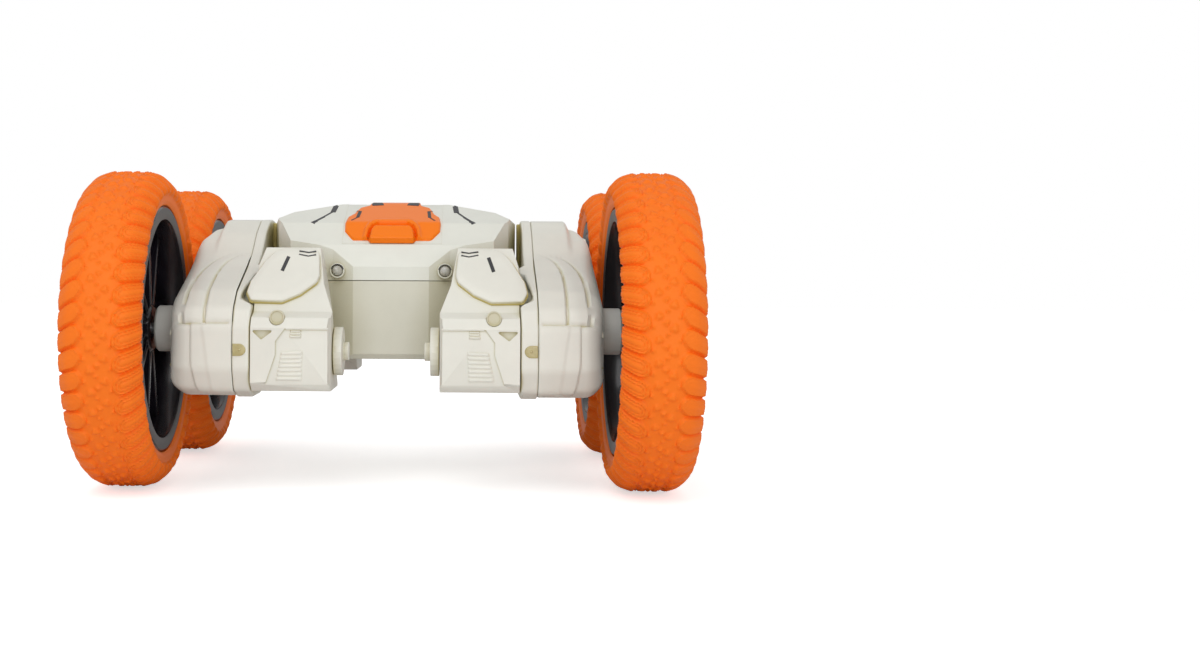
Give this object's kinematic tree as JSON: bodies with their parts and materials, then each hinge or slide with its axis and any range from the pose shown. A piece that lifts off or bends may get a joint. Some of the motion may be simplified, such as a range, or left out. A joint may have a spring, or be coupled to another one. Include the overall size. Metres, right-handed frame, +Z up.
{
  "type": "remote-controlled stunt car",
  "caption": "Low remote-controlled stunt car: large ribbed orange wheels on two swinging side arms with geared motors, white central body with an orange top panel.",
  "frame": {"origin": "on the floor, under the middle of the car", "axes": "+X to the car's right as seen from the front camera side, -Y toward the front, +Z up"},
  "size_m": [0.225, 0.2454, 0.12],
  "materials": {
    "shell_white": "satin off-white moulding, faintly translucent",
    "arm_white": "satin warm white moulding",
    "tyre_orange": "soft matte bright orange rubber",
    "rim_black": "near-black gloss plastic, flange rubbed to grey",
    "panel_orange": "bright orange semi-gloss moulding",
    "lens_amber": "tinted amber lens",
    "led_clear": "clear domed light",
    "steel": "ground steel",
    "motor_steel": "plated motor can",
    "gear_nylon": "natural nylon",
    "brass": "machined brass",
    "board_green": "green solder mask",
    "battery_blue": "blue shrink wrap",
    "switch_black": "fine-textured black"
  },
  "bodies": {
    "left_front_wheel": {"left_front_tyre": "tyre_orange", "left_front_rim": "rim_black", "left_front_wheel_disc": "rim_black", "left_front_axle": "steel"},
    "left_front_motor_shaft": {"left_front_motor_pinion": "brass"},
    "right_front_wheel": {"right_front_tyre": "tyre_orange", "right_front_rim": "rim_black", "right_front_wheel_disc": "rim_black", "right_front_axle": "steel"},
    "right_front_motor_shaft": {"right_front_motor_pinion": "brass"},
    "left_rear_wheel": {"left_rear_tyre": "tyre_orange", "left_rear_rim": "rim_black", "left_rear_wheel_disc": "rim_black", "left_rear_axle": "steel"},
    "left_rear_motor_shaft": {"left_rear_motor_pinion": "brass"},
    "right_rear_wheel": {"right_rear_tyre": "tyre_orange", "right_rear_rim": "rim_black", "right_rear_wheel_disc": "rim_black", "right_rear_axle": "steel"},
    "right_rear_motor_shaft": {"right_rear_motor_pinion": "brass"},
    "left_arm": {"left_arm_outer_cover": "arm_white", "left_arm_inner_shell": "arm_white", "left_swing_sector": "gear_nylon", "left_front_motor_housing": "arm_white", "left_front_end_cap": "arm_white", "left_front_cover_plate": "shell_white", "left_front_lens": "lens_amber", "left_front_motor": "motor_steel", "left_rear_motor_housing": "arm_white", "left_rear_end_cap": "arm_white", "left_rear_cover_plate": "shell_white", "left_rear_lens": "lens_amber", "left_rear_motor": "motor_steel"},
    "right_arm": {"right_arm_outer_cover": "arm_white", "right_arm_inner_shell": "arm_white", "right_swing_sector": "gear_nylon", "right_front_motor_housing": "arm_white", "right_front_end_cap": "arm_white", "right_front_cover_plate": "shell_white", "right_front_lens": "lens_amber", "right_front_motor": "motor_steel", "right_rear_motor_housing": "arm_white", "right_rear_end_cap": "arm_white", "right_rear_cover_plate": "shell_white", "right_rear_lens": "lens_amber", "right_rear_motor": "motor_steel"},
    "chassis": {"lower_shell": "shell_white", "upper_shell": "shell_white", "top_panel": "panel_orange", "battery_door": "shell_white", "battery_pack": "battery_blue", "circuit_board": "board_green", "left_led": "led_clear", "right_led": "led_clear", "swing_motor": "motor_steel", "left_pivot_pin": "steel", "right_pivot_pin": "steel"},
    "power_switch_slider": {"power_switch": "switch_black"},
    "swing_motor_shaft": {"swing_pinion": "brass"}
  },
  "joints": [
    {"name": "left_arm_swing", "type": "hinge", "parent": "chassis", "child": "left_arm", "pos_m": [-0.038, 0, 0.071], "axis": [0, 0, 1], "range_deg": [-10, 0]},
    {"name": "right_arm_swing", "type": "hinge", "parent": "chassis", "child": "right_arm", "pos_m": [0.038, 0, 0.071], "axis": [0, 0, 1], "range_deg": [0, 10]},
    {"name": "swing_motor_turn", "type": "hinge", "parent": "chassis", "child": "swing_motor_shaft", "pos_m": [0.00076, 0.0215, 0.071], "axis": [0, 0, 1], "range_deg": [-76, 0]},
    {"name": "left_front_wheel_roll", "type": "hinge", "parent": "left_arm", "child": "left_front_wheel", "pos_m": [-0.097, -0.063, 0.06], "axis": [1, 0, 0], "continuous": true},
    {"name": "left_front_motor_turn", "type": "hinge", "parent": "left_arm", "child": "left_front_motor_shaft", "pos_m": [-0.063, -0.0722, 0.0523], "axis": [1, 0, 0], "continuous": true},
    {"name": "right_front_wheel_roll", "type": "hinge", "parent": "right_arm", "child": "right_front_wheel", "pos_m": [0.097, -0.063, 0.06], "axis": [1, 0, 0], "continuous": true},
    {"name": "right_front_motor_turn", "type": "hinge", "parent": "right_arm", "child": "right_front_motor_shaft", "pos_m": [0.063, -0.0722, 0.0523], "axis": [1, 0, 0], "continuous": true},
    {"name": "left_rear_wheel_roll", "type": "hinge", "parent": "left_arm", "child": "left_rear_wheel", "pos_m": [-0.097, 0.063, 0.06], "axis": [1, 0, 0], "continuous": true},
    {"name": "left_rear_motor_turn", "type": "hinge", "parent": "left_arm", "child": "left_rear_motor_shaft", "pos_m": [-0.063, 0.0722, 0.0523], "axis": [1, 0, 0], "continuous": true},
    {"name": "right_rear_wheel_roll", "type": "hinge", "parent": "right_arm", "child": "right_rear_wheel", "pos_m": [0.097, 0.063, 0.06], "axis": [1, 0, 0], "continuous": true},
    {"name": "right_rear_motor_turn", "type": "hinge", "parent": "right_arm", "child": "right_rear_motor_shaft", "pos_m": [0.063, 0.0722, 0.0523], "axis": [1, 0, 0], "continuous": true},
    {"name": "power_switch_slide", "type": "slide", "parent": "chassis", "child": "power_switch_slider", "axis": [1, 0, 0], "range_m": [0, 0.004]}
  ],
  "couplings": [
    {"joint": "right_arm_swing", "follows": "left_arm_swing", "ratio": -1},
    {"joint": "swing_motor_turn", "follows": "left_arm_swing", "ratio": 7.6},
    {"joint": "left_front_motor_turn", "follows": "left_front_wheel_roll", "ratio": -3},
    {"joint": "right_front_motor_turn", "follows": "right_front_wheel_roll", "ratio": -3},
    {"joint": "left_rear_motor_turn", "follows": "left_rear_wheel_roll", "ratio": -3},
    {"joint": "right_rear_motor_turn", "follows": "right_rear_wheel_roll", "ratio": -3}
  ]
}
